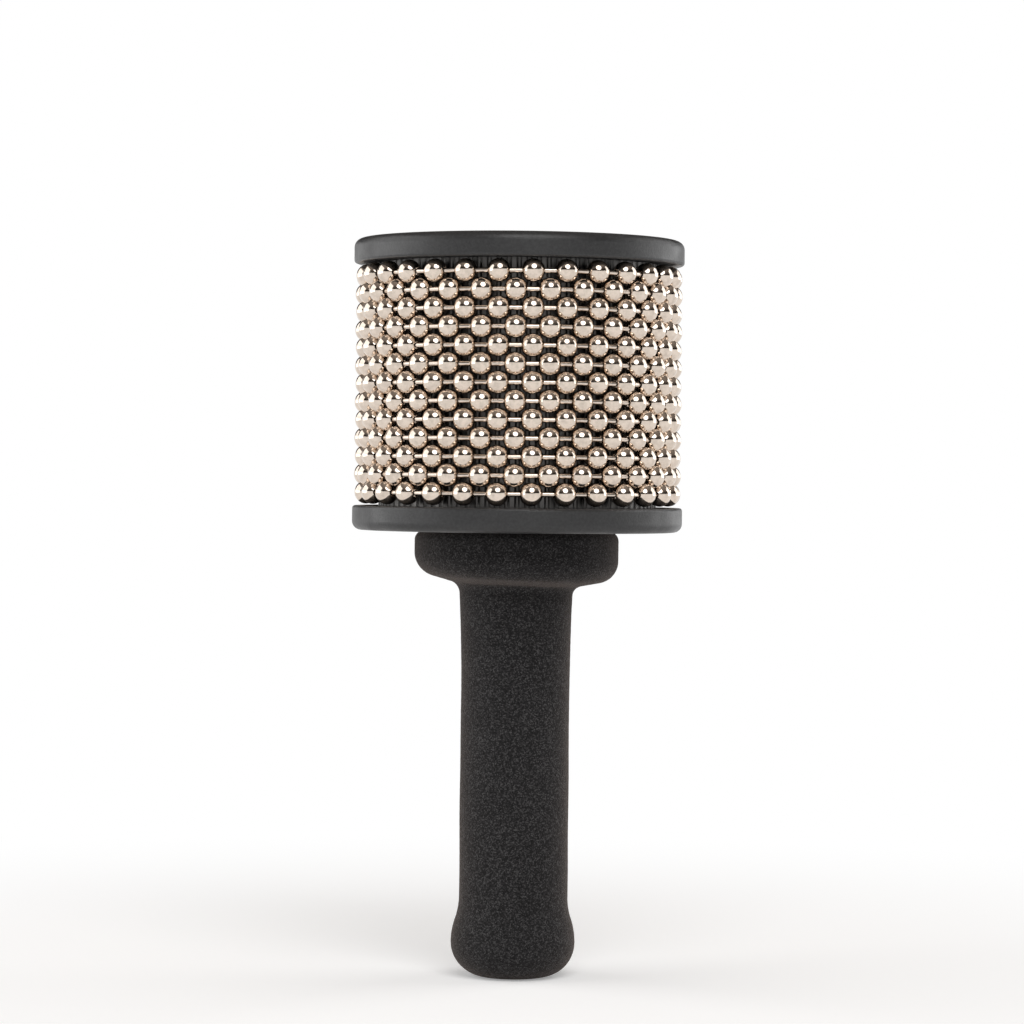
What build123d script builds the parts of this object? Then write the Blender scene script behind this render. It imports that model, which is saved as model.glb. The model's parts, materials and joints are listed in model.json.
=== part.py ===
"""A small hand cabasa: nested loops of steel ball chain round a ribbed drum, on a foam-covered handle.

Millimetres. +Z runs up the handle, and the origin is the middle of the foot.
"""

import os
from math import asin, cos, degrees, floor, pi, sin, sqrt

from build123d import *

# Ball chain
bead_radius = 2.38
bead_wall = 0.35
wire_radius = 0.5
wire_play = 0.24
head_overlap = 0.2
head_thickness = 0.45
head_gap = 0.3
chain_pitch = 6.7

# Loops on the drum
loop_count = 13
loop_play = 0.32
row_gap = 0.8
end_play = 0.35

# Ribbed sheet round the drum
drum_radius = 28.5
sheet_thickness = 0.75
rib_pitch = 2.0
groove_radius = 0.6
groove_depth = 0.35

# End caps
cap_overhang = 0.3
cap_thickness = 5.0
cap_socket_depth = 1.5
cap_rim_rounding = 1.8
cap_lip_rounding = 0.6
top_field_inset = 7.5
top_field_depth = 0.8
hub_wall = 2.25
hub_floor = 2.5

# Foam grip
handle_length = 91.5
grip_radius = 11.15
foam_wall = 3.65
foam_foot = 6.0
foot_rounding = 7.0
foot_swell = 1.62
foot_flare_height = 9.5
neck_swell = 0.45
neck_taper_height = 18.0
neck_fillet = 2.4
flange_height = 13.0
flange_slope = 13.0
flange_underside = 3.9
flange_rounding = 4.8
flange_top_rounding = 2.0

# Handle core and its fittings
collar_thickness = 3.5
collar_edge = 1.5
insert_radius = 4.5
insert_length = 15.0
insert_inset = 0.5
pin_radius = 1.5
pin_depth = 5.0
pin_count = 3

# Clamping screw
bolt_radius = 3.0
bolt_engagement = 13.0
bolt_run_out = 3.0
bolt_head_radius = 5.0
bolt_head_height = 4.0
bolt_head_inset = 0.4
hex_key_size = 4.0
hex_key_depth = 2.2
washer_radius = 6.0
washer_thickness = 1.6

# Clearances
fit_gap = 0.05
bolt_gap = 0.3
hub_gap = 0.2

# Worked out: one chain loop and the nesting of the rows
loop_radius = drum_radius + loop_play + bead_radius
beads_per_loop = floor(pi / asin(chain_pitch / 2 / loop_radius))
half_step = pi / beads_per_loop
row_pitch = bead_radius + wire_radius + row_gap
bead_hole_radius = wire_radius + wire_play
head_radius = bead_hole_radius + head_overlap

# Worked out: heights
cap_bottom = handle_length
lower_lip = cap_bottom + cap_thickness
lower_seat = lower_lip - cap_socket_depth
first_row = lower_lip + end_play + bead_radius
last_row = first_row + (loop_count - 1) * row_pitch
upper_lip = last_row + bead_radius + end_play
upper_seat = upper_lip + cap_socket_depth
cap_top = upper_lip + cap_thickness
head_top = cap_top - top_field_depth - bolt_head_inset
washer_top = head_top - bolt_head_height
washer_seat = washer_top - washer_thickness
hub_bottom = washer_seat - hub_floor
insert_top = handle_length - insert_inset
bolt_tip = insert_top - bolt_engagement

# Worked out: radii
core_radius = drum_radius - sheet_thickness - fit_gap
cap_radius = loop_radius + bead_radius + cap_overhang
counterbore_radius = washer_radius + bolt_gap
hub_radius = counterbore_radius + hub_wall
pin_circle = hub_radius + hub_gap + pin_radius + collar_edge
collar_radius = pin_circle + pin_radius + collar_edge
stem_radius = grip_radius - foam_wall - fit_gap
bolt_hole_radius = bolt_radius + bolt_gap


def rod(radius, bottom, top):
    """An upright cylinder on the axis between two heights."""
    return Pos(0, 0, bottom) * Cylinder(radius, top - bottom, align=(Align.CENTER, Align.CENTER, Align.MIN))


def turned(edges):
    """A closed outline of radius and height, turned round the axis."""
    return revolve(Plane.XZ * make_face(edges), Axis.Z)


def on_pin_circle(pin):
    """Copies of an upright pin, spaced evenly round the axis."""
    return [Rot(0, 0, 360 * i / pin_count) * Pos(pin_circle, 0, 0) * pin for i in range(pin_count)]


def pins(radius, bottom, top):
    """Upright pins on the pin circle between two heights."""
    return on_pin_circle(rod(radius, bottom, top))


def bead():
    """One hollow bead, with a wire hole at each end of its X axis."""
    shell = Circle(bead_radius) - Circle(bead_radius - bead_wall)
    above_holes = Pos(0, bead_hole_radius + bead_radius / 2) * Rectangle(2 * bead_radius, bead_radius)
    return revolve(shell & above_holes, Axis.X)


def link():
    """One dumbbell wire along X, whose heads sit inside two neighbouring beads."""
    half_length = loop_radius * sin(half_step) - head_gap / 2
    wire = Cylinder(wire_radius, 2 * half_length)
    head_height = half_length - head_thickness / 2
    heads = [Pos(0, 0, side * head_height) * Cylinder(head_radius, head_thickness) for side in (-1, 1)]
    return Rot(0, 90, 0) * (wire + heads)


def ring_of(piece, radius, row, turn):
    """Copies of a chain piece round one row, each along the tangent; turn counts half steps."""
    height = first_row + row * row_pitch
    half_angle = degrees(half_step)
    angles = [(2 * i + row % 2 + turn) * half_angle for i in range(beads_per_loop)]
    return [Rot(0, 0, angle) * Pos(radius, 0, height) * Rot(0, 0, 90) * piece for angle in angles]


def chain_loops():
    """The bead nodes and link nodes of every row; odd rows are turned by half a step."""
    hole_reach = sqrt(bead_radius**2 - bead_hole_radius**2)
    link_radius = loop_radius * cos(half_step) + hole_reach * sin(half_step)
    nodes = {}
    for row in range(loop_count):
        nodes[f"bead_loop_{row + 1:02d}"] = ring_of(bead(), loop_radius, row, 0)
        nodes[f"link_loop_{row + 1:02d}"] = ring_of(link(), link_radius, row, 1)
    return nodes


def textured_cylinder():
    """The rolled sheet with upright rounded grooves that the beads rasp on."""
    groove_count = round(2 * pi * drum_radius / rib_pitch)
    groove_centre = drum_radius - groove_depth + groove_radius
    grooves = PolarLocations(groove_centre, groove_count) * Circle(groove_radius)
    section = Circle(drum_radius) - grooves - Circle(drum_radius - sheet_thickness)
    return Pos(0, 0, lower_seat) * extrude(section, upper_seat - lower_seat)


def drum_core():
    """The turned wooden core, with a socket at each end for the cap's hub and blind holes for the pins."""
    core = rod(core_radius, lower_seat, upper_seat)
    core -= rod(bolt_hole_radius, lower_seat, upper_seat)
    core -= rod(hub_radius + fit_gap, hub_bottom - hub_gap, upper_seat)
    core -= rod(hub_radius + fit_gap, lower_seat, lower_seat + hub_floor + hub_gap)
    return core - pins(pin_radius + fit_gap, lower_seat, lower_seat + pin_depth + hub_gap)


def cap_blank(lip, seat, outer_face):
    """A disc with a rounded rim and a socket for the drum's end, from the lip's height to the outer face."""
    low, high = min(lip, outer_face), max(lip, outer_face)
    blank = rod(cap_radius, low, high)
    rim = blank.edges().filter_by(GeomType.CIRCLE)
    blank = fillet(rim.sort_by(lambda edge: abs(edge.center().Z - outer_face))[0], cap_rim_rounding)
    lip_edge = blank.edges().filter_by_position(Axis.Z, lip, lip)
    blank = fillet(lip_edge, cap_lip_rounding)
    return blank - rod(drum_radius + fit_gap, min(lip, seat), max(lip, seat))


def upper_cap():
    """The top disc: a hub into the core, a counterbore for the screw and a shallow recessed field."""
    cap = cap_blank(upper_lip, upper_seat, cap_top)
    cap += rod(hub_radius, hub_bottom, upper_seat)
    cap -= rod(cap_radius - top_field_inset, cap_top - top_field_depth, cap_top)
    cap -= rod(counterbore_radius, washer_seat, cap_top)
    return cap - rod(bolt_hole_radius, hub_bottom, cap_top)


def lower_cap():
    """The bottom disc: a hub into the core, and holes for the screw and the pins."""
    hub_top = lower_seat + hub_floor
    cap = cap_blank(lower_lip, lower_seat, cap_bottom)
    cap += rod(hub_radius, lower_seat, hub_top)
    cap -= rod(bolt_hole_radius, cap_bottom, hub_top)
    return cap - pins(pin_radius + fit_gap, cap_bottom, lower_seat)


def through_bolt():
    """The long socket-head screw, with its head in the top cap's counterbore."""
    screw = rod(bolt_radius, bolt_tip, washer_top)
    screw += rod(bolt_head_radius, washer_top, head_top)
    key = extrude(RegularPolygon(hex_key_size / 2, 6, major_radius=False), hex_key_depth)
    return screw - Pos(0, 0, head_top - hex_key_depth) * key


def bolt_washer():
    """The washer under the screw's head."""
    return rod(washer_radius, washer_seat, washer_top) - rod(bolt_hole_radius, washer_seat, washer_top)


def threaded_insert():
    """The brass insert in the stem, which takes the screw."""
    bottom = insert_top - insert_length
    return rod(insert_radius, bottom, insert_top) - rod(bolt_radius + fit_gap, bottom, insert_top)


def handle_core():
    """The stem inside the foam, with a collar at its top and holes for the insert, the screw and the pins."""
    core = rod(stem_radius, foam_foot, handle_length)
    core += rod(collar_radius, handle_length - collar_thickness, handle_length)
    core -= rod(insert_radius + fit_gap, insert_top - insert_length, handle_length)
    core -= rod(bolt_hole_radius, bolt_tip - bolt_run_out, handle_length)
    pin_floor = handle_length - collar_thickness + collar_edge
    return core - pins(pin_radius + fit_gap, pin_floor, handle_length)


def drive_pins():
    """Dowels from the collar through the lower cap into the core."""
    pin_floor = handle_length - collar_thickness + collar_edge
    return pins(pin_radius, pin_floor, lower_seat + pin_depth)


def foam_grip():
    """The foam sleeve: rounded foot, flare, straight grip, tapered neck and sloping flange, hollow for the core."""
    foot_radius = grip_radius + foot_swell
    flare_top = foot_rounding + foot_flare_height
    flare_middle = (grip_radius + foot_swell / 2, foot_rounding + foot_flare_height / 2)
    neck_top = handle_length - flange_height
    up = (0, 1)
    out = (1, 0)
    foot = Line((0, 0), (foot_radius - foot_rounding, 0))
    foot_corner = TangentArc(foot @ 1, (foot_radius, foot_rounding), tangent=out)
    bulge = TangentArc(foot_corner @ 1, flare_middle, tangent=up)
    waist = TangentArc(bulge @ 1, (grip_radius, flare_top), tangent=bulge % 1)
    straight = Line(waist @ 1, (grip_radius, neck_top - neck_taper_height))
    taper = TangentArc(straight @ 1, (grip_radius + neck_swell, neck_top), tangent=up)
    neck = JernArc(taper @ 1, taper % 1, neck_fillet, flange_slope - (taper % 1).get_angle(Vector(out)))
    underside = PolarLine(neck @ 1, flange_underside, flange_slope)
    guard = JernArc(underside @ 1, underside % 1, flange_rounding, 90 - flange_slope)
    edge = Line(guard @ 1, ((guard @ 1).X, handle_length - flange_top_rounding))
    shoulder = JernArc(edge @ 1, up, flange_top_rounding, 90)
    closing = Polyline(shoulder @ 1, (0, handle_length), (0, 0))
    outline = [foot, foot_corner, bulge, waist, straight, taper, neck, underside, guard, edge, shoulder, closing]
    sleeve = turned(outline)
    sleeve -= rod(stem_radius + fit_gap, foam_foot, handle_length)
    return sleeve - rod(collar_radius + fit_gap, handle_length - collar_thickness, handle_length)


nodes = {
    "foam_grip": foam_grip(),
    "handle_core": handle_core(),
    "threaded_insert": threaded_insert(),
    "drive_pins": drive_pins(),
    "lower_cap": lower_cap(),
    "drum_core": drum_core(),
    "textured_cylinder": textured_cylinder(),
    "upper_cap": upper_cap(),
    "bolt_washer": bolt_washer(),
    "through_bolt": through_bolt(),
    **chain_loops(),
}

os.makedirs("parts", exist_ok=True)
for name, shape in nodes.items():
    solids = shape if isinstance(shape, list) else [shape]
    export_step(Compound(children=solids), f"parts/{name}.step")
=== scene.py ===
"""The looks of a small hand cabasa: foam grip, nickel ball chain, ribbed drum and moulded caps."""
import json
import math

import bmesh
import bpy
from mathutils import Matrix, Vector, noise

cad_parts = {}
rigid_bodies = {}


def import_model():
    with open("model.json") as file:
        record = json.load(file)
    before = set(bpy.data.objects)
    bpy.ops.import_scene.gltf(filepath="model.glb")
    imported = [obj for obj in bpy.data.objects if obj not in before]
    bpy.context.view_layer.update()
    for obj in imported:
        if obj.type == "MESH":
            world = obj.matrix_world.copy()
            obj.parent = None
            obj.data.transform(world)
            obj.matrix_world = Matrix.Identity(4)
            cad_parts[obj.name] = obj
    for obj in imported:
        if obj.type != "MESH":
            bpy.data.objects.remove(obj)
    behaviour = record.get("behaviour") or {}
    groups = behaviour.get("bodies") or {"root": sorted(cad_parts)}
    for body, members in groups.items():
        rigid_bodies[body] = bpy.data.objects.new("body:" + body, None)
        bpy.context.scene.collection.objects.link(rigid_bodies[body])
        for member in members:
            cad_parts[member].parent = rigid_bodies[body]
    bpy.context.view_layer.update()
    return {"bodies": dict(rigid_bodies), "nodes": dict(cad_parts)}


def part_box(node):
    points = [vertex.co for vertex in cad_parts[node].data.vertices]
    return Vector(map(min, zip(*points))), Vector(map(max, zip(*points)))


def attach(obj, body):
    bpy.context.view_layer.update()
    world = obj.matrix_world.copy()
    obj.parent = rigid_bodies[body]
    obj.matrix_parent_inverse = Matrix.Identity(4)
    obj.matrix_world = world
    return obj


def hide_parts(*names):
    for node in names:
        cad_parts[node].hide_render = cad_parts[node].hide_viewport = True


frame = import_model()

scene = bpy.context.scene
MM = 0.001

# Foam grip, in millimetres and degrees, with the same profile as its solid
foam_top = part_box("foam_grip")[1].z / MM
flange_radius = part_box("foam_grip")[1].x / MM
grip_radius = 11.15
foot_rounding = 7.0
foot_swell = 1.62
foot_flare_height = 9.5
neck_swell = 0.45
neck_taper_height = 18.0
neck_fillet = 2.4
flange_height = 13.0
flange_slope = 13.0
flange_underside = 3.9
flange_rounding = 4.8
flange_top_rounding = 2.0
foam_foot = 6.0
stem_hole_radius = 7.5
collar_hole_radius = 14.8
collar_depth = 3.5
neck_top = foam_top - flange_height

# Mesh of the foam, in millimetres, and the least angle of a sharp edge, in degrees
foam_step = 0.36
foam_segments = 200
foot_middle_radius = 0.2
foam_crease = 50
cad_crease = 35

# Unevenness of the foam, which fades out at its foot and at its top, in millimetres
foam_grain_size = 0.75
foam_grain_height = 0.026
foam_lump_size = 14.0
foam_lump_height = 0.12
foot_fade_height = 2.0
top_fade_start = foam_top - 2.5
top_fade_end = foam_top - 0.5

# Droop of the flange, down at +X and up at -X, and the heights where it starts, is full, fades and ends
flange_droop = 0.8
droop_start = neck_top - 1.5
droop_full = neck_top + 3.5
droop_fade = foam_top - 6.5
droop_end = foam_top - 0.5

# Textures, in repeats per metre, and the depths of their relief, in metres
foam_cells = 4600
foam_cell_depth = 0.0001
foam_fuzz = 3000
foam_fuzz_depth = 0.00016
foam_patches = 180
bead_grain = 900
bead_dents = 330
bead_dent_depth = 0.00006
link_grain = 1500
sheet_grain = 900
sheet_stretch = (1, 1, 0.03)
fitting_grain = 4000
brass_grain = 1200
plastic_grain = 1900
plastic_grain_depth = 0.00009
plastic_wear = 90
wood_rings = 160

# Colours
foam_colour = (0.032, 0.031, 0.031)
foam_cell_dark = (0.011, 0.0107, 0.0112)
foam_cell_middle = (0.026, 0.0252, 0.0262)
# Light cells: partly the foam's own tone, partly painted glints of cell facets catching light
foam_cell_light_glint = (0.093, 0.091, 0.093)
foam_sheen = (1, 0.82, 0.72)
nickel_colour = (0.75, 0.646, 0.554)
link_colour = (0.73, 0.628, 0.54)
# The drum sheet: steel whose colour is darkened far below steel's own, as painted shade in the gaps between
# the beads
sheet_colour_with_painted_shade = (0.12, 0.116, 0.112)
fitting_colour = (0.6, 0.59, 0.58)
brass_colour = (0.72, 0.52, 0.24)
cap_colour = (0.029, 0.029, 0.03)
core_colour = (0.035, 0.035, 0.037)
beech_colour = (0.55, 0.38, 0.22)
beech_dark = (0.42, 0.27, 0.14)
beech_light = (0.62, 0.45, 0.28)

# Floor and wall round the object, in metres
floor_middle = 1.0
floor_radius = 3.6
sweep_radius = 0.4
sweep_steps = 12
wall_top = 0.8
backdrop_segments = 96

# White of the floor: its paper, its lift near the object, and where even white starts and is full, in metres
paper_white = 0.9
near_lift = 0.28
white_start = 0.03
white_full = 0.3

# Lamps, in metres and watts
lamp_target = (0, 0, 0.09)
round_lamp_place = (0.12, -0.8, 0.8)
round_lamp_size = (0.8, 0.8)
round_lamp_power = 5.7
left_panel_place = (-0.95, 0.1, 0.45)
left_panel_size = (1.3, 0.9)
left_panel_power = 5.9
right_panel_place = (0.9, 0.4, 0.42)
right_panel_size = (0.9, 0.8)
right_panel_power = 4.1

# Room light: dim below one height of the sky and full above another, as sines of their elevations
room_colour = (1, 0.89, 0.8)
room_dim = 0.015
room_full = 0.29
room_dim_below = 0.28
room_full_above = 0.95

# Camera, in the photograph's frame: pixels, millimetres, metres and degrees
image_size = 1024
focal_pixels = 3698
sensor_width = 36.0
camera_clip = 0.01
camera_distance = 0.76
camera_height = 0.104
camera_turn = -1.9
camera_pitch = -0.65
camera_roll = 0.58
camera_yaw = 0.078


def smoothstep(low, high, value):
    """0 below low, 1 above high, and smooth between them."""
    t = min(1.0, max(0.0, (value - low) / (high - low)))
    return t * t * (3 - 2 * t)


def arc(centre, radius, start, end):
    """Points of radius and height on a circle from one angle to another, in degrees."""
    steps = max(6, round(abs(math.radians(end - start)) * radius / foam_step))
    angles = [math.radians(start + (end - start) * i / steps) for i in range(steps + 1)]
    return [(centre[0] + radius * math.cos(a), centre[1] + radius * math.sin(a)) for a in angles]


def line(start, end):
    """Evenly spaced points from start to end, without start itself."""
    steps = max(1, round(math.dist(start, end) / foam_step))
    return [tuple(a + (b - a) * i / steps for a, b in zip(start, end)) for i in range(1, steps + 1)]


def polar(start, length, angle):
    """The point at a distance from start, along a direction in degrees."""
    turn = math.radians(angle)
    return (start[0] + length * math.cos(turn), start[1] + length * math.sin(turn))


def foam_outline():
    """The outside of the grip, from the middle of the foot to the top of the flange."""
    foot_radius = grip_radius + foot_swell
    flare_radius = ((foot_flare_height / 2) ** 2 + (foot_swell / 2) ** 2) / foot_swell
    flare_angle = math.degrees(math.asin(foot_flare_height / 2 / flare_radius))
    flare_top = foot_rounding + foot_flare_height
    taper_radius = (neck_taper_height**2 + neck_swell**2) / (2 * neck_swell)
    taper_angle = math.degrees(math.asin(neck_taper_height / taper_radius))
    taper_bottom = neck_top - neck_taper_height
    neck_centre = polar((grip_radius + neck_swell, neck_top), neck_fillet, -taper_angle)
    underside_start = polar(neck_centre, neck_fillet, 90 + flange_slope)
    underside_end = polar(underside_start, flange_underside, flange_slope)
    guard_centre = polar(underside_end, flange_rounding, 90 + flange_slope)
    edge_top = foam_top - flange_top_rounding
    points = line((foot_middle_radius, 0), (foot_radius - foot_rounding, 0))
    points += arc((foot_radius - foot_rounding, foot_rounding), foot_rounding, -90, 0)[1:]
    points += arc((foot_radius - flare_radius, foot_rounding), flare_radius, 0, flare_angle)[1:]
    points += arc((grip_radius + flare_radius, flare_top), flare_radius, 180 + flare_angle, 180)[1:]
    points += line((grip_radius, flare_top), (grip_radius, taper_bottom))
    points += arc((grip_radius + taper_radius, taper_bottom), taper_radius, 180, 180 - taper_angle)[1:]
    points += arc(neck_centre, neck_fillet, 180 - taper_angle, 90 + flange_slope)[1:]
    points += line(underside_start, underside_end)
    points += arc(guard_centre, flange_rounding, flange_slope - 90, 0)[1:]
    points += line((flange_radius, guard_centre[1]), (flange_radius, edge_top))
    points += arc((flange_radius - flange_top_rounding, edge_top), flange_top_rounding, 0, 90)[1:]
    return points


def foam_inside():
    """The hollow for the stem and its collar, from the flange's top down to the foot."""
    collar_floor = foam_top - collar_depth
    return [
        (collar_hole_radius, foam_top),
        (collar_hole_radius, collar_floor),
        (stem_hole_radius, collar_floor),
        (stem_hole_radius, foam_foot),
    ]


def foam_point(radius, height, angle, way_out):
    """A point of the foam in metres, moved along way_out by lumps and grain, and by the flange's droop."""
    point = Vector((radius * math.cos(angle), radius * math.sin(angle), height))
    normal = Vector((way_out[0] * math.cos(angle), way_out[0] * math.sin(angle), way_out[1]))
    free = smoothstep(0.0, foot_fade_height, height) * (1 - smoothstep(top_fade_start, top_fade_end, height))
    lump = foam_lump_height * noise.noise(point / foam_lump_size)
    grain = foam_grain_height * noise.noise(point / foam_grain_size)
    point += normal * free * (lump + grain)
    guard = smoothstep(droop_start, droop_full, height) * (1 - smoothstep(droop_fade, droop_end, height))
    point.z -= flange_droop * guard * point.x / flange_radius
    return point * MM


def ways_out(outline):
    """The outward direction at each point of an outline of radius and height."""
    found = []
    for i in range(len(outline)):
        before = outline[max(0, i - 1)]
        after = outline[min(len(outline) - 1, i + 1)]
        along = Vector((after[0] - before[0], after[1] - before[1])).normalized()
        found.append((along.y, -along.x))
    return found


def ring(mesh, radius, height, way_out):
    """One ring of foam vertices."""
    step = 2 * math.pi / foam_segments
    return [mesh.verts.new(foam_point(radius, height, i * step, way_out)) for i in range(foam_segments)]


def bridge(mesh, lower, upper):
    """Quads between two rings."""
    count = len(lower)
    for i in range(count):
        j = (i + 1) % count
        mesh.faces.new((lower[i], lower[j], upper[j], upper[i]))


def mesh_object(name, mesh):
    """A smooth object in the scene, from a finished bmesh."""
    data = bpy.data.meshes.new(name)
    mesh.to_mesh(data)
    mesh.free()
    data.shade_smooth()
    made = bpy.data.objects.new(name, data)
    scene.collection.objects.link(made)
    return made


def new_piece(name, mesh, body, material):
    """A piece from a finished bmesh, riding on a body and taking its finish from a slot."""
    bmesh.ops.recalc_face_normals(mesh, faces=mesh.faces)
    piece = mesh_object(name, mesh)
    piece.data.set_sharp_from_angle(angle=math.radians(foam_crease))
    piece.data.materials.append(material)
    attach(piece, body)
    return piece


def foam_piece(material):
    """The grip as one closed sleeve with a grained outside and a plain bore."""
    mesh = bmesh.new()
    outside = foam_outline()
    rings = [ring(mesh, r, z, way) for (r, z), way in zip(outside, ways_out(outside))]
    rings += [ring(mesh, r, z, (0, 0)) for r, z in foam_inside()]
    for lower, upper in zip(rings, rings[1:]):
        bridge(mesh, lower, upper)
    mesh.faces.new(rings[0])
    mesh.faces.new(rings[-1])
    piece = new_piece("foam_sleeve", mesh, "handle", material)
    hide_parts("foam_grip")


def settle(node, settings):
    """Set a node's inputs and properties by name."""
    for key, value in settings.items():
        if key in node.inputs:
            node.inputs[key].default_value = value
        else:
            setattr(node, key, value)


def wire(node, **outputs):
    """Feed a node's inputs from other nodes; an underscore stands for a space in an input's name."""
    for key, output in outputs.items():
        node.id_data.links.new(output, node.inputs[key.replace("_", " ")])


def add(tree, kind, settings=None, **outputs):
    """A new node in a tree, with its inputs set and fed."""
    node = tree.nodes.new(kind)
    settle(node, settings or {})
    wire(node, **outputs)
    return node


def noise_texture(tree, place, scale, detail, roughness=0.5):
    """The values of a noise texture."""
    settings = {"Scale": scale, "Detail": detail, "Roughness": roughness}
    return add(tree, "ShaderNodeTexNoise", settings, Vector=place).outputs["Fac"]


def bump(tree, height, strength, depth, **under):
    """A normal that follows a height, laid over the normal that it is given."""
    settings = {"Strength": strength, "Distance": depth}
    return add(tree, "ShaderNodeBump", settings, Height=height, **under).outputs["Normal"]


def ramp(tree, factor, stops):
    """A colour ramp with its stops, fed by a factor."""
    node = add(tree, "ShaderNodeValToRGB", Fac=factor)
    elements = node.color_ramp.elements
    while len(elements) < len(stops):
        elements.new(0.5)
    for element, (place, colour) in zip(elements, stops):
        element.position = place
        element.color = (*colour, 1)
    return node.outputs["Color"]


def grey(value):
    """A neutral colour."""
    return (value, value, value)


def darker(colour, share):
    """A colour at a share of its brightness."""
    return tuple(share * c for c in colour)


def surface(name, colour, roughness, metallic=0.0):
    """A new material, with its node tree, its shader and the object's coordinates."""
    material = bpy.data.materials.new(name)
    material.use_nodes = True
    tree = material.node_tree
    shader = tree.nodes["Principled BSDF"]
    settle(shader, {"Base Color": (*colour, 1), "Roughness": roughness, "Metallic": metallic})
    place = add(tree, "ShaderNodeTexCoord").outputs["Object"]
    return material, tree, shader, place


def foam_material():
    """Matte black closed-cell foam: fine cells of differing brightness, the lightest partly painted glints, a
    soft sheen and slow patches.
    """
    material, tree, shader, place = surface("foam_black", foam_colour, 0.92)
    cells = add(tree, "ShaderNodeTexVoronoi", {"Scale": foam_cells}, Vector=place)
    fuzz = noise_texture(tree, place, foam_fuzz, 3, 0.65)
    patches = noise_texture(tree, place, foam_patches, 2)
    cell_tone = add(tree, "ShaderNodeSeparateColor", Color=cells.outputs["Color"]).outputs["Red"]
    speckle = ramp(tree, cell_tone, [(0.0, foam_cell_dark), (0.6, foam_cell_middle), (1.0, foam_cell_light_glint)])
    shade = ramp(tree, patches, [(0.3, grey(0.88)), (0.7, grey(1.0))])
    multiply = {"data_type": "RGBA", "blend_type": "MULTIPLY", "Factor": 1.0}
    tint = add(tree, "ShaderNodeMix", multiply, A=speckle, B=shade).outputs["Result"]
    pores = bump(tree, cells.outputs["Distance"], 0.5, foam_cell_depth)
    relief = bump(tree, fuzz, 0.8, foam_fuzz_depth, Normal=pores)
    wire(shader, Base_Color=tint, Normal=relief)
    settle(shader, {"Specular IOR Level": 0.18, "Sheen Weight": 0.235, "Sheen Roughness": 0.36})
    settle(shader, {"Sheen Tint": (*foam_sheen, 1)})
    return material


def metal_material(name, colour, smooth, rough, grain, stretch=(1, 1, 1), dent_depth=0.0):
    """Metal whose gloss and tint vary with a fine grain, drawn out by stretch, and with slow dents if any."""
    material, tree, shader, place = surface(name, colour, smooth, metallic=1.0)
    drawn = add(tree, "ShaderNodeMapping", {"Scale": stretch}, Vector=place).outputs["Vector"]
    values = noise_texture(tree, drawn, grain, 4)
    gloss = ramp(tree, values, [(0.35, grey(smooth)), (0.7, grey(rough))])
    tint = ramp(tree, values, [(0.3, darker(colour, 0.8)), (0.6, colour)])
    wire(shader, Base_Color=tint, Roughness=gloss)
    if dent_depth:
        dents = noise_texture(tree, place, bead_dents, 1)
        wire(shader, Normal=bump(tree, dents, 1.0, dent_depth))
    return material


def plastic_material(name, colour, roughness):
    """Moulded plastic with a fine spark-eroded texture, and gloss that varies slowly with wear."""
    material, tree, shader, place = surface(name, colour, roughness)
    grain = noise_texture(tree, place, plastic_grain, 3, 0.6)
    wear = noise_texture(tree, place, plastic_wear, 6, 0.65)
    gloss = ramp(tree, wear, [(0.35, grey(roughness - 0.1)), (0.65, grey(roughness + 0.1))])
    tint = ramp(tree, grain, [(0.35, darker(colour, 0.6)), (0.65, colour)])
    wire(shader, Base_Color=tint, Roughness=gloss, Normal=bump(tree, grain, 0.6, plastic_grain_depth))
    return material


def wood_material():
    """Turned beech with uneven rings."""
    material, tree, shader, place = surface("core_beech", beech_colour, 0.65)
    settings = {"Scale": wood_rings, "Distortion": 2.5, "Detail": 3, "wave_type": "RINGS"}
    rings = add(tree, "ShaderNodeTexWave", settings, Vector=place)
    wire(shader, Base_Color=ramp(tree, rings.outputs["Fac"], [(0.2, beech_dark), (0.8, beech_light)]))
    return material


def dress(material, *nodes):
    """Give CAD nodes a material and smooth shading with crisp edges."""
    for name in nodes:
        data = frame["nodes"][name].data
        data.materials.clear()
        data.materials.append(material)
        data.shade_smooth()
        data.set_sharp_from_angle(angle=math.radians(cad_crease))


def backdrop():
    """A round white floor that sweeps up into a low wall all round the object."""
    profile = [(floor_middle, 0.0), (floor_radius, 0.0)]
    for i in range(1, sweep_steps + 1):
        angle = math.pi / 2 * i / sweep_steps
        profile.append((floor_radius + sweep_radius * math.sin(angle), sweep_radius * (1 - math.cos(angle))))
    profile.append((floor_radius + sweep_radius, wall_top))
    mesh = bmesh.new()
    turns = [2 * math.pi * i / backdrop_segments for i in range(backdrop_segments)]
    rings = [[mesh.verts.new((r * math.cos(a), r * math.sin(a), z)) for a in turns] for r, z in profile]
    mesh.faces.new(rings[0])
    for inner, outer in zip(rings, rings[1:]):
        bridge(mesh, outer, inner)
    floor = mesh_object("backdrop", mesh)
    return floor


def combine(tree, operation, first, second):
    """Two values joined by an operation, such as the larger of them."""
    node = add(tree, "ShaderNodeMath", {"operation": operation})
    tree.links.new(first, node.inputs[0])
    tree.links.new(second, node.inputs[1])
    return node.outputs["Value"]


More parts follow.
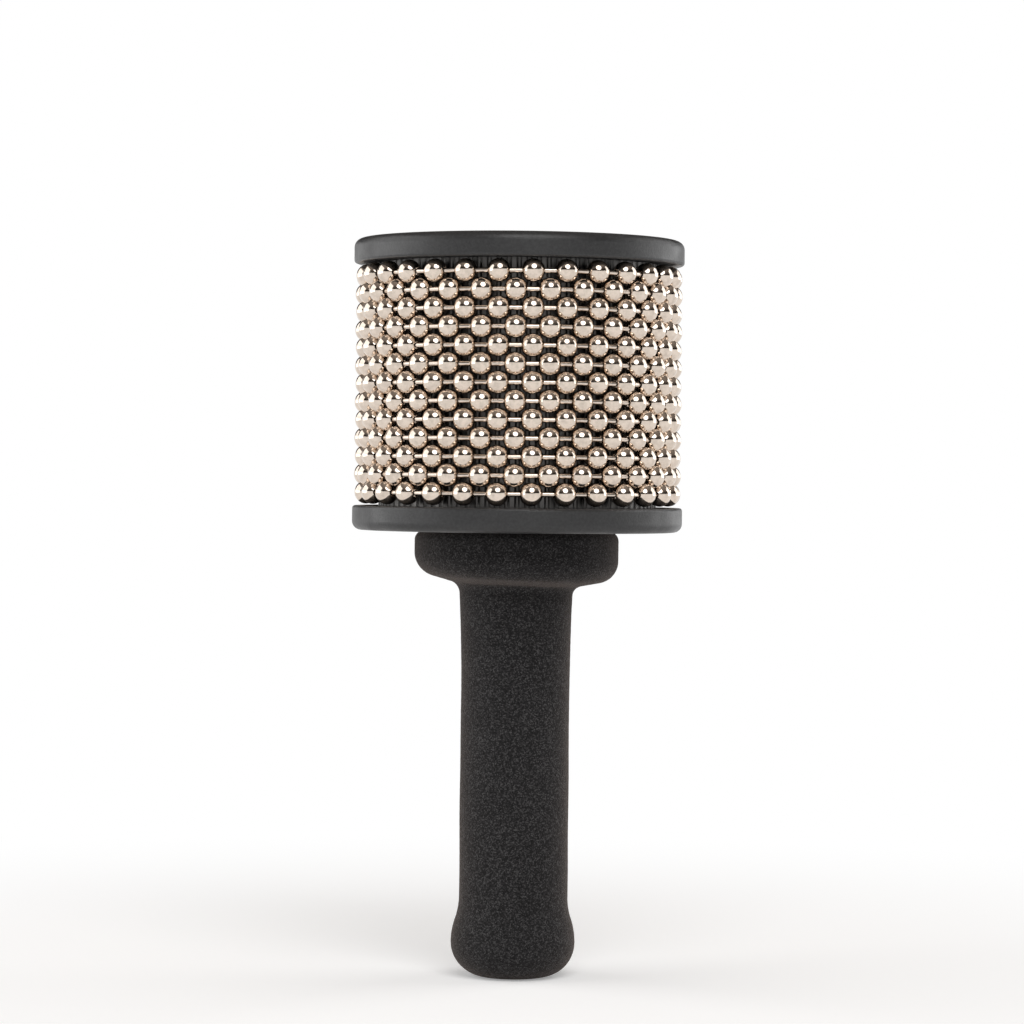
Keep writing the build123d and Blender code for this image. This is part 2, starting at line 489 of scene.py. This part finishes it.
def backdrop_material():
    """White paper that shows the shadow near the object, seen and mirrored as an even white further off."""
    material = bpy.data.materials.new("backdrop_white")
    material.use_nodes = True
    material.cycles.emission_sampling = "NONE"
    tree = material.node_tree
    tree.nodes.clear()
    rays = add(tree, "ShaderNodeLightPath").outputs
    mirrored = combine(tree, "MAXIMUM", rays["Is Glossy Ray"], rays["Is Transmission Ray"])
    seen = combine(tree, "MAXIMUM", rays["Is Camera Ray"], mirrored)
    place = add(tree, "ShaderNodeNewGeometry").outputs["Position"]
    away = add(tree, "ShaderNodeVectorMath", {"operation": "LENGTH"}, Vector=place).outputs["Value"]
    reach = {"interpolation_type": "SMOOTHSTEP", "From Min": white_start, "From Max": white_full}
    far = add(tree, "ShaderNodeMapRange", reach, Value=away).outputs["Result"]
    paper = add(tree, "ShaderNodeBsdfDiffuse", {"Color": (*grey(paper_white), 1)})
    lift = add(tree, "ShaderNodeEmission", {"Color": (*grey(near_lift), 1)}, Strength=seen)
    near = add(tree, "ShaderNodeAddShader")
    tree.links.new(paper.outputs["BSDF"], near.inputs[0])
    tree.links.new(lift.outputs["Emission"], near.inputs[1])
    glow = add(tree, "ShaderNodeEmission", {"Strength": 1.0})
    mix = add(tree, "ShaderNodeMixShader", Fac=combine(tree, "MULTIPLY", far, seen))
    tree.links.new(near.outputs["Shader"], mix.inputs[1])
    tree.links.new(glow.outputs["Emission"], mix.inputs[2])
    add(tree, "ShaderNodeOutputMaterial", Surface=mix.outputs["Shader"])
    return material


def softbox(name, place, size, power, shape="RECTANGLE"):
    """An area lamp that faces the object; size is its width and height in metres."""
    lamp = bpy.data.lights.new(name, "AREA")
    lamp.shape = shape
    lamp.size, lamp.size_y = size
    lamp.energy = power
    holder = bpy.data.objects.new(name, lamp)
    holder.location = place
    holder.rotation_euler = (Vector(lamp_target) - Vector(place)).to_track_quat("-Z", "Y").to_euler()
    scene.collection.objects.link(holder)


def light_the_room():
    """A room that is dim at eye level and lighter overhead."""
    world = bpy.data.worlds.new("studio")
    scene.world = world
    world.use_nodes = True
    tree = world.node_tree
    direction = add(tree, "ShaderNodeTexCoord").outputs["Generated"]
    height = add(tree, "ShaderNodeSeparateXYZ", Vector=direction).outputs["Z"]
    rise = {"From Min": room_dim_below, "From Max": room_full_above, "To Min": room_dim, "To Max": room_full}
    level = add(tree, "ShaderNodeMapRange", rise, Value=height).outputs["Result"]
    sky = tree.nodes["Background"]
    settle(sky, {"Color": (*room_colour, 1)})
    wire(sky, Strength=level)


def place_camera():
    """The photograph's view: a long lens a little above the middle, with a slight roll."""
    lens = bpy.data.cameras.new("camera")
    lens.sensor_width = sensor_width
    lens.lens = focal_pixels * sensor_width / image_size
    lens.clip_start = camera_clip
    camera = bpy.data.objects.new("camera", lens)
    scene.collection.objects.link(camera)
    turn = Matrix.Rotation(math.radians(camera_turn), 4, "Z")
    place = Matrix.Translation((0, -camera_distance, camera_height))
    yaw = Matrix.Rotation(math.radians(camera_yaw), 4, "Z")
    pitch = Matrix.Rotation(math.radians(90 + camera_pitch), 4, "X")
    roll = Matrix.Rotation(math.radians(camera_roll), 4, "Z")
    camera.matrix_world = turn @ place @ yaw @ pitch @ roll
    scene.camera = camera


loops = sorted(body for body in frame["bodies"] if body.startswith("loop_"))
numbers = [body.removeprefix("loop_") for body in loops]

nickel = metal_material("bead_nickel", nickel_colour, 0.08, 0.16, bead_grain, dent_depth=bead_dent_depth)
link_steel = metal_material("link_steel", link_colour, 0.14, 0.24, link_grain)
# The drum sheet's dark tint is painted shade for the gaps between the beads
sheet_steel = metal_material("drum_sheet", sheet_colour_with_painted_shade, 0.32, 0.48, sheet_grain, stretch=sheet_stretch)
fitting_steel = metal_material("fitting_steel", fitting_colour, 0.25, 0.4, fitting_grain)
brass = metal_material("insert_brass", brass_colour, 0.25, 0.4, brass_grain)
cap_plastic = plastic_material("cap_black", cap_colour, 0.42)
core_plastic = plastic_material("core_black", core_colour, 0.55)

foam_piece(foam_material())
dress(nickel, *[f"bead_loop_{number}" for number in numbers])
dress(link_steel, *[f"link_loop_{number}" for number in numbers])
dress(sheet_steel, "textured_cylinder")
dress(fitting_steel, "through_bolt", "bolt_washer", "drive_pins")
dress(brass, "threaded_insert")
dress(cap_plastic, "lower_cap", "upper_cap")
dress(core_plastic, "handle_core")
dress(wood_material(), "drum_core")

backdrop().data.materials.append(backdrop_material())
light_the_room()
softbox("round_lamp", round_lamp_place, round_lamp_size, round_lamp_power, "DISK")
softbox("left_panel", left_panel_place, left_panel_size, left_panel_power)
softbox("right_panel", right_panel_place, right_panel_size, right_panel_power)
place_camera()
scene.view_settings.view_transform = "Standard"
